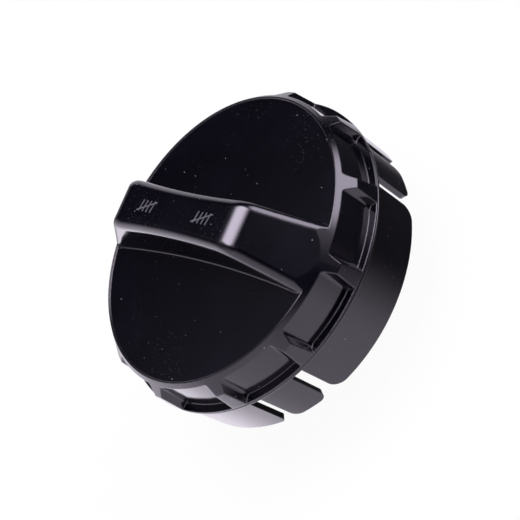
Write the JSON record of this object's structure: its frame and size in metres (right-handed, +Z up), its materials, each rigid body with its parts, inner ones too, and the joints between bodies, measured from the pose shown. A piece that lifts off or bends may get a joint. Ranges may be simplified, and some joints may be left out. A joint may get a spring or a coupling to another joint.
{
  "type": "fuel filler cap",
  "caption": "Round screw-in fuel filler cap with a raised turning bar, a ribbed rim, a slotted skirt and a threaded, vented plug",
  "frame": {"origin": "On the cap's axis at the open end of the plug, the face that the cap stands on", "axes": "+Z up the cap's axis towards the turning bar, +X along the turning bar, +Y across it"},
  "size_m": [0.079, 0.079, 0.0495],
  "materials": {
    "cover_plastic": "satin black moulded plastic",
    "body_plastic": "black glass-filled plastic",
    "gasket_rubber": "black sealing rubber",
    "acetal": "natural acetal",
    "steel": "plain steel"
  },
  "bodies": {
    "closure": {"closure_body": "body_plastic", "neck_gasket": "gasket_rubber", "lid_seal": "gasket_rubber", "torque_ring": "acetal", "valve_lid": "body_plastic", "thrust_washer": "steel", "spring_washer": "steel", "spring_seat": "steel", "pressure_spring": "steel", "base_plate": "body_plastic", "base_screen": "steel"},
    "grip": {"grip_cover": "cover_plastic", "skirt_ring": "cover_plastic"},
    "pressure_valve": {"pressure_plate": "acetal", "pressure_seal": "gasket_rubber", "vacuum_spring": "steel"},
    "vacuum_valve": {"vacuum_poppet": "acetal", "vacuum_seal": "gasket_rubber", "stem_clip": "steel"}
  },
  "joints": [
    {"name": "grip_turn", "type": "hinge", "parent": "closure", "child": "grip", "pos_m": [0, 0, 0.036], "axis": [0, 0, 1], "range_deg": [-23, 0]},
    {"name": "pressure_lift", "type": "slide", "parent": "closure", "child": "pressure_valve", "axis": [0, 0, 1], "range_m": [0, 0.0025], "stiffness_N_per_m": 300, "springref_m": -0.006, "deforming": ["pressure_spring"]},
    {"name": "vacuum_open", "type": "slide", "parent": "pressure_valve", "child": "vacuum_valve", "axis": [0, 0, 1], "range_m": [-0.002, 0], "stiffness_N_per_m": 60, "springref_m": 0.003, "deforming": ["vacuum_spring"]}
  ]
}
